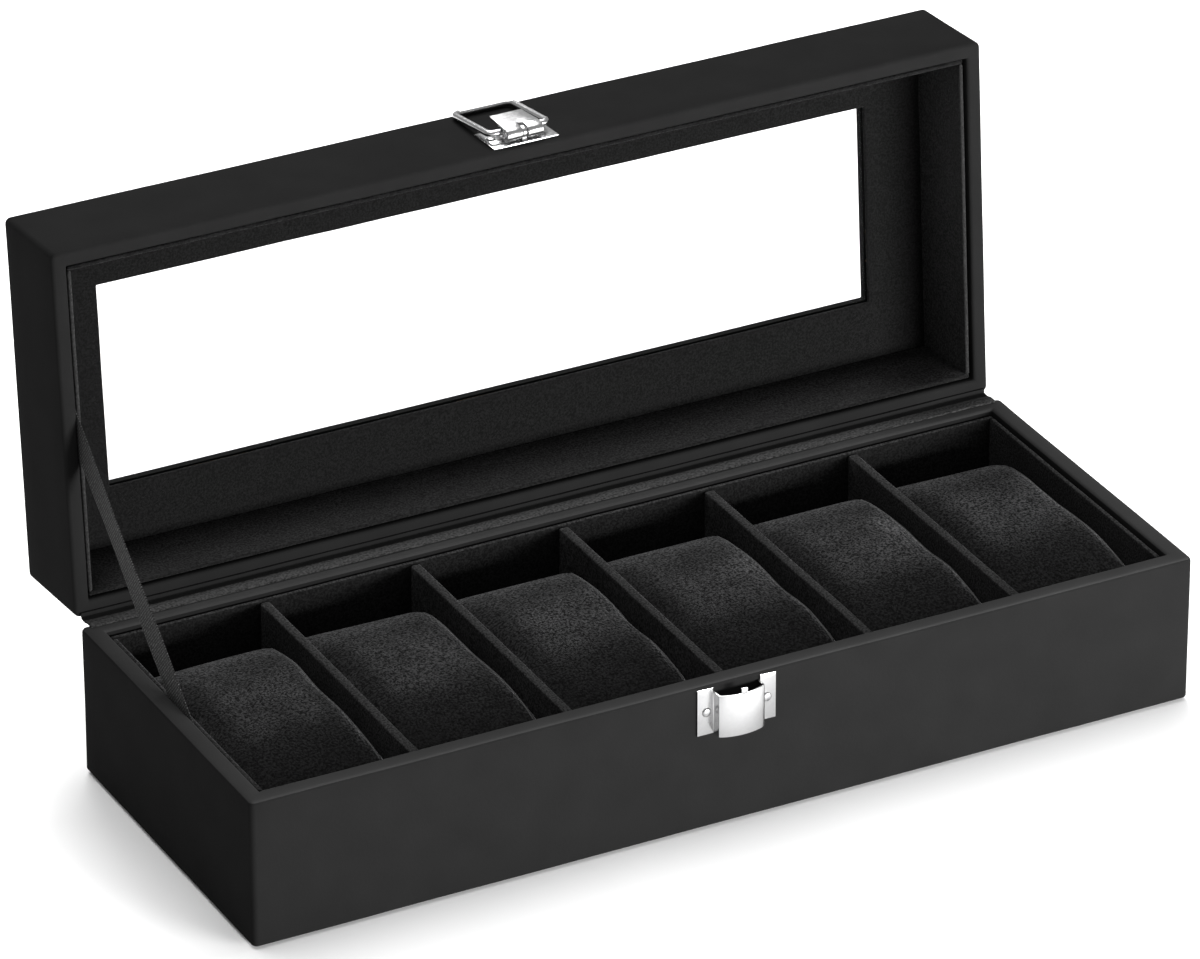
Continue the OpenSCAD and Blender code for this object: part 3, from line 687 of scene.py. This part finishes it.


# ---------------------------------------------------------------------------------
# The stay: a black woven ribbon 10 mm wide with thickened selvedges, glued behind the
# left cards of both halves. It is drawn taut, as with the lid open.

def ribbon_look():
    """Grosgrain ribbon: crosswise ribs, drawn 0.8 mm apart so that they show, with specks
    where the warp shows between them."""
    rib = 0.8 * MM
    made, tree, shader = material("black_grosgrain_ribbon", Roughness=0.8, Sheen_Weight=0.06,
                                  Sheen_Roughness=0.5, Specular_IOR_Level=0.05)
    place = add(tree, "ShaderNodeUVMap").outputs[0]
    ribs = add(tree, "ShaderNodeTexWave", {"Vector": place, "Scale": math.pi / (10 * rib),
                                           "Distortion": 0.4, "Detail": 1.0},
               bands_direction="X")
    warp = add(tree, "ShaderNodeTexNoise", {"Vector": place, "Scale": 1 / (0.7 * MM),
                                            "Detail": 2.0})
    specks = add(tree, "ShaderNodeMapRange", {"Value": warp.outputs[0], "From Min": 0.35,
                                              "From Max": 0.65})
    height = add(tree, "ShaderNodeMath", {0: ribs.outputs[1], 1: specks.outputs[0]},
                 operation="MULTIPLY")
    tone = add(tree, "ShaderNodeMix", {"Factor": height.outputs[0], "A": linear("#060606"),
                                       "B": linear("#444444")}, data_type="RGBA")
    bump = add(tree, "ShaderNodeBump", {"Height": height.outputs[0], "Strength": 0.6,
                                        "Distance": 0.1 * MM})
    tree.links.new(tone.outputs["Result"], shader.inputs["Base Color"])
    tree.links.new(bump.outputs[0], shader.inputs["Normal"])
    return made


low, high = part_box("stay_ribbon")
ribbon_w, ribbon_t, tuck, ribbon_twist = 10 * MM, 0.4 * MM, 12 * MM, 0.25 * MM
diagonal = Vector((0, high.y - low.y, high.z - low.z))
ribbon_rise = math.atan2(diagonal.z, diagonal.y)
for settling in range(8):
    inside_y = diagonal.y - ribbon_w * math.sin(ribbon_rise)
    inside_z = diagonal.z - ribbon_w * math.cos(ribbon_rise)
    ribbon_rise = math.atan2(inside_z, inside_y)
ribbon_length = math.hypot(inside_y, inside_z)
along = Vector((0, math.cos(ribbon_rise), math.sin(ribbon_rise)))
across = Vector((0, -along.z, along.y))
centre = (low + high) / 2
columns = [(-1, 0.7), (-0.9, 1), (-0.78, 0.6), (-0.4, 0.6), (0, 0.6), (0.4, 0.6), (0.78, 0.6),
           (0.9, 1), (1, 0.7)]
count, verts, uvs = 56, [], []
for k in range(count + 1):
    s = k / count
    slack = min(1, 4.5 * min(s - tuck / ribbon_length, 1 - s - tuck / ribbon_length))
    twist = ribbon_twist * max(slack, 0) * math.sin(2.4 * math.pi * s)
    for skin in (1, -1):
        for c, (w, t) in enumerate(columns[::skin]):
            off = Vector((skin * t * ribbon_t / 2 + twist * w, 0, 0))
            verts.append(centre + along * ribbon_length * (s - 0.5)
                         + across * ribbon_w / 2 * w + off)
            uvs.append((ribbon_length * s, ribbon_w / 2 * w))
loop = 2 * len(columns)
faces = [(k * loop + i, k * loop + (i + 1) % loop, (k + 1) * loop + (i + 1) % loop,
          (k + 1) * loop + i) for k in range(count) for i in range(loop)]
faces += [tuple(range(loop)), tuple(count * loop + i for i in range(loop))]
stay = mesh_piece("stay_ribbon_cloth", verts, faces, ribbon_look(), 60)
layer = stay.data.uv_layers.new(name="weave")
for corner in stay.data.loops:
    layer.data[corner.index].uv = uvs[corner.vertex_index]
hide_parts("stay_ribbon")
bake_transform(stay)


# ---------------------------------------------------------------------------------
# The latch on the front of the lid: a plate nailed to the wall, a lever that turns on
# a pin through its rolled knuckle, and a wire bail hung in the lever's two cheeks.

low, high = shut_box("latch_plate")
eye_r, pin_r, lever_w, lever_t, lever_slot = 2.1 * MM, 0.85 * MM, 11.6 * MM, 1 * MM, 1.9 * MM
pin_low, pin_high = shut_box("lever_pin")
pin = (pin_low + pin_high) / 2
plate = pressed("latch_plate_sheet", [
    [Vector((x, face - SHEET / 2, z)) for x in (low.x, clasp_x, high.x)]
    for z in (low.z, (low.z + high.z) / 2, high.z)], (), SHEET, nickel)
knuckle_w, knuckle_r = lever_slot - 0.4 * MM, eye_r - 0.3 * MM
neck_half, eased = 1 * MM, 0.2 * MM


def disc(radius, width):
    """The profile of a disc with eased rims, for turned()."""
    return [(0.2 * radius, -width / 2), (radius - eased, -width / 2),
            (radius, eased - width / 2), (radius, width / 2 - eased),
            (radius - eased, width / 2), (0.2 * radius, width / 2)]


plate = joined("latch_plate_with_knuckle", plate,
               turned("knuckle", disc(knuckle_r, knuckle_w), [pin], (1, 0, 0), nickel),
               card("knuckle_neck", Vector((clasp_x - knuckle_w / 2, pin.y, pin.z - neck_half)),
                    Vector((clasp_x + knuckle_w / 2, face - SHEET / 2, pin.z + neck_half)),
                    SHEET_EDGE, nickel, 0))
lid_piece(plate, "lid", "nickel_steel", "latch_plate")

low, high = shut_box("latch_nails")
height, reach = (low.z + high.z) / 2, (high.x - low.x) / 2 - NAIL_HEAD
nails = turned("latch_nail_heads", NAIL, [(clasp_x + s * reach, face - SHEET, height)
                                          for s in (-1, 1)], (0, -1, 0), nail_steel_painted_dark)
lid_piece(nails, "lid", "nickel_steel", "latch_nails")
rod = turned("lever_pin_rod", disc(pin_r, lever_w), [pin], (1, 0, 0), nickel)
lid_piece(rod, "lid", "nickel_steel", "lever_pin")

low, high = shut_box("latch_lever")
middle_r, tongue_y = eye_r - lever_t / 2, pin.y - eye_r + lever_t / 2
turns = [math.radians(a) for a in range(-250, 1, 25)]
roll = [(pin.y - middle_r * math.cos(a), pin.z + middle_r * math.sin(a)) for a in turns]
slot_top, lip, taper = pin.z + eye_r, 0.6 * MM, 0.014 / MM
line = roll + [(tongue_y, slot_top), (tongue_y, (slot_top + high.z) / 2),
               (tongue_y, high.z - lip), (tongue_y, high.z)]
columns = [-lever_w / 2, -lever_slot / 2, lever_slot / 2, lever_w / 2]
lever = pressed("lever_tongue", [
    [Vector((clasp_x + x * (1 - taper * max(0, z - slot_top)), y, z)) for x in columns]
    for y, z in line], {(r, 1) for r in range(len(roll))}, lever_t, nickel, SHEET_EDGE)
pivot = OPEN.inverted() @ Vector(next(j for j in frame["joints"]
                                      if j["name"] == "bail_pivot")["pos_m"])
cheek_r, cheek_x = 1.75 * MM, (lever_w - lever_t) / 2
cheeks = turned("lever_cheeks", disc(cheek_r, lever_t),
                [(clasp_x - cheek_x, pivot.y, pivot.z), (clasp_x + cheek_x, pivot.y, pivot.z)],
                (1, 0, 0), nickel)
necks = [card("lever_neck", Vector((x - lever_t / 2, tongue_y, pivot.z - cheek_r)),
              Vector((x + lever_t / 2, pivot.y, pivot.z + cheek_r)), SHEET_EDGE, nickel, 0)
         for x in (clasp_x - cheek_x, clasp_x + cheek_x)]
lever = joined("latch_lever_with_cheeks", lever, cheeks, *necks)
lid_piece(lever, "lever", "nickel_steel", "latch_lever")


def wire(name, points, normal, radius, look, sides=14):
    """A round wire bent in a plane with that normal."""
    verts = []
    for i, p in enumerate(points):
        run = (points[min(i + 1, len(points) - 1)] - points[max(i - 1, 0)]).normalized()
        out = run.cross(normal)
        verts += [p + radius * (math.cos(a) * out + math.sin(a) * normal)
                  for a in (2 * math.pi * k / sides for k in range(sides))]
    rows = len(points)
    faces = [(r * sides + k, r * sides + (k + 1) % sides, (r + 1) * sides + (k + 1) % sides,
              (r + 1) * sides + k) for r in range(rows - 1) for k in range(sides)]
    faces += [tuple(range(sides)), tuple((rows - 1) * sides + k for k in range(sides))]
    return mesh_piece(name, verts, faces, look, 50)


low, high = shut_box("latch_bail")
wire_r = 1 * MM
bar = Vector((high.y - wire_r - pivot.y, high.z - wire_r - pivot.z))
arm_x, end_x = (high.x - low.x) / 2 - wire_r, lever_w / 2 - lever_t
upward = Vector((0, bar.x, bar.y)).normalized()
path = rounded([(-end_x, 0, 0), (-arm_x, 0, 1.6 * MM), (-arm_x, bar.length, 2.2 * MM),
                (arm_x, bar.length, 2.2 * MM), (arm_x, 0, 1.6 * MM), (end_x, 0, 0)], 6, 1)
bail = wire("latch_bail_wire", [pivot + Vector((p.x, 0, 0)) + upward * p.y for p in path],
            Vector((1, 0, 0)).cross(upward), wire_r, nickel)
lid_piece(bail, "bail", "nickel_steel", "latch_bail")


# ---------------------------------------------------------------------------------
# The six watch pillows: foam blocks in velvet covers, each a tube of cloth sewn round
# two end panels. The cloth is stretched over the foam by a simulation, and the seams
# are laid on it afterwards. Each lifts out of its compartment.

UPPER_HALF, LOWER_HALF = (0.6, 2.6, 6), (0.4, 5, 7)


def pillow_form(low, high, corner=8 * MM, thick=0.1 * MM, cuts=14):
    """A flat oval from the side, with upright ends and rounded corners. A half is (share of
    the height, roundness from the side, roundness from the end)."""
    size = high - low
    centre = Vector(((low.x + high.x) / 2, (low.y + high.y) / 2,
                     low.z + LOWER_HALF[0] * size.z))
    half_x, half_y = size.x / 2 - thick, size.y / 2 - thick

    def inside(p):
        half_z, side, end = UPPER_HALF if p.z > 0 else LOWER_HALF
        x, y, z = abs(p.x) / half_x, abs(p.y) / half_y, abs(p.z) / (half_z * size.z - thick)
        past = math.hypot(max(abs(p.x) - half_x + corner, 0), max(abs(p.y) - half_y + corner, 0))
        return y ** side + z ** side < 1 and x ** end + z ** end < 1 and past < corner

    bm = bmesh.new()
    bmesh.ops.create_cube(bm, size=1)
    bmesh.ops.subdivide_edges(bm, edges=bm.edges[:], cuts=cuts, use_grid_fill=True)
    for vert in bm.verts:
        ray = Vector((vert.co.x * size.x, vert.co.y * size.y, vert.co.z * size.z))
        near, far = 0, 2
        for halving in range(24):
            middle = (near + far) / 2
            near, far = (middle, far) if inside(ray * middle) else (near, middle)
        vert.co = centre + ray * near
    verts, faces = [v.co.copy() for v in bm.verts], [tuple(v.index for v in f.verts)
                                                     for f in bm.faces]
    bm.free()
    return verts, faces


def evaluated(obj):
    """A copy of a mesh with its modifiers applied."""
    return bpy.data.meshes.new_from_object(
        obj.evaluated_get(bpy.context.evaluated_depsgraph_get()))


def inflated(obj, cap, cell=4 * MM, pressure=4, steps=20):
    """Stretches a closed cover by the pressure of its filling, never further than a cap."""
    remesh = obj.modifiers.new("remesh", "REMESH")
    remesh.mode, remesh.voxel_size = "VOXEL", cell
    obj.data = evaluated(obj)
    obj.modifiers.clear()
    before = [v.co.copy() for v in obj.data.vertices]
    cloth = obj.modifiers.new("cloth", "CLOTH")
    cloth.settings.use_pressure = True
    cloth.settings.uniform_pressure_force = pressure
    cloth.settings.effector_weights.gravity = 0
    cloth.point_cache.frame_start, cloth.point_cache.frame_end = 1, steps
    for step in range(1, steps + 1):
        bpy.context.scene.frame_set(step)
    after = evaluated(obj)
    obj.modifiers.clear()
    for vert, start in zip(after.vertices, before):
        move = vert.co - start
        vert.co = start + move * min(1, cap / max(move.length, 1e-9))
    obj.data = after
    bpy.context.scene.frame_set(1)


pillow_velvet = velvet_look("black_pillow_velvet", "#030303", "#0e0e0e", 0.4, 0.38,
                            0.7 * MM)
low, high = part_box("pillow_cover_1")
first_centre, stretch, molds = (low + high) / 2, 0.9 * MM, []
for number in range(2):
    verts, faces = pillow_form(low, high)
    mold = waver(mesh_piece("pillow_mold", [v - first_centre for v in verts], faces,
                            pillow_velvet, 180), 0.5 * MM, (19 + 6 * number) * MM)
    inflated(mold, stretch)
    smooth = mold.modifiers.new("smooth", "SUBSURF")
    smooth.levels = 1
    mold.data = evaluated(mold)
    mold.modifiers.clear()
    molds.append(mold)
seam_in, seam_r = 2.6 * MM, 0.4 * MM
thread = material("black_seam_thread", Base_Color=linear("#0a0a0a"), Roughness=0.7)[0]


def seam_line(mold, x):
    """The points of a seam: a loop that lies on a pillow in the plane of an end panel."""
    skin = BVHTree.FromObject(mold, bpy.context.evaluated_depsgraph_get())
    count, out, points = 72, 80 * MM, []
    for k in range(count):
        angle = 2 * math.pi * k / count
        ray = Vector((0, math.cos(angle), math.sin(angle)))
        hit = skin.ray_cast(Vector((x, 0, 0)) + ray * out, -ray)[0]
        points.append(hit - ray * seam_r / 2)
    return points + points[:1]


# Each pillow is one of the two covers, turned round or mirrored, so that neighbours differ.
for number in range(6):
    node = f"pillow_cover_{number + 1}"
    low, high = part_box(node)
    flip = Vector((1 if number in (0, 3, 4) else -1, 1 if number in (0, 1, 5) else -1, 1))
    pillow = molds[number % 2].copy()
    pillow.data = molds[number % 2].data.copy()
    pillow.name = f"velvet_pillow_{number + 1}"
    bpy.context.scene.collection.objects.link(pillow)
    centre = (low + high) / 2
    for vert in pillow.data.vertices:
        vert.co = Vector(a * b for a, b in zip(vert.co, flip)) + centre
    if flip.x * flip.y < 0:
        pillow.data.flip_normals()
    pillow.data.materials.clear()
    pillow.data.materials.append(pillow_velvet)
    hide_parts(node)
    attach(pillow, f"pillow_{number + 1}")
    seam_x = (high.x - low.x) / 2 - seam_in
    rings = [wire("seam", [Vector(a * b for a, b in zip(p, flip)) + centre
                           for p in seam_line(molds[number % 2], side * seam_x)],
                  Vector((1, 0, 0)), seam_r, thread, 8) for side in (-1, 1)]
    seams = joined(f"pillow_seams_{number + 1}", *rings)
    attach(seams, f"pillow_{number + 1}")
for mold in molds:
    bpy.data.objects.remove(mold)

# The foam blocks: cut from cream polyurethane foam, and squeezed a little by their covers.
foam_look = material("cream_polyurethane_foam", Base_Color=linear("#e3d8b8"),
                     Roughness=0.95)[0]
squeezed = 1.6 * MM
for number in range(6):
    node = f"pillow_core_{number + 1}"
    core = mesh_piece(f"foam_{node}", *pillow_form(*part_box(node), thick=squeezed, cuts=8),
                      foam_look, 180)
    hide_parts(node)
    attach(core, f"pillow_{number + 1}")
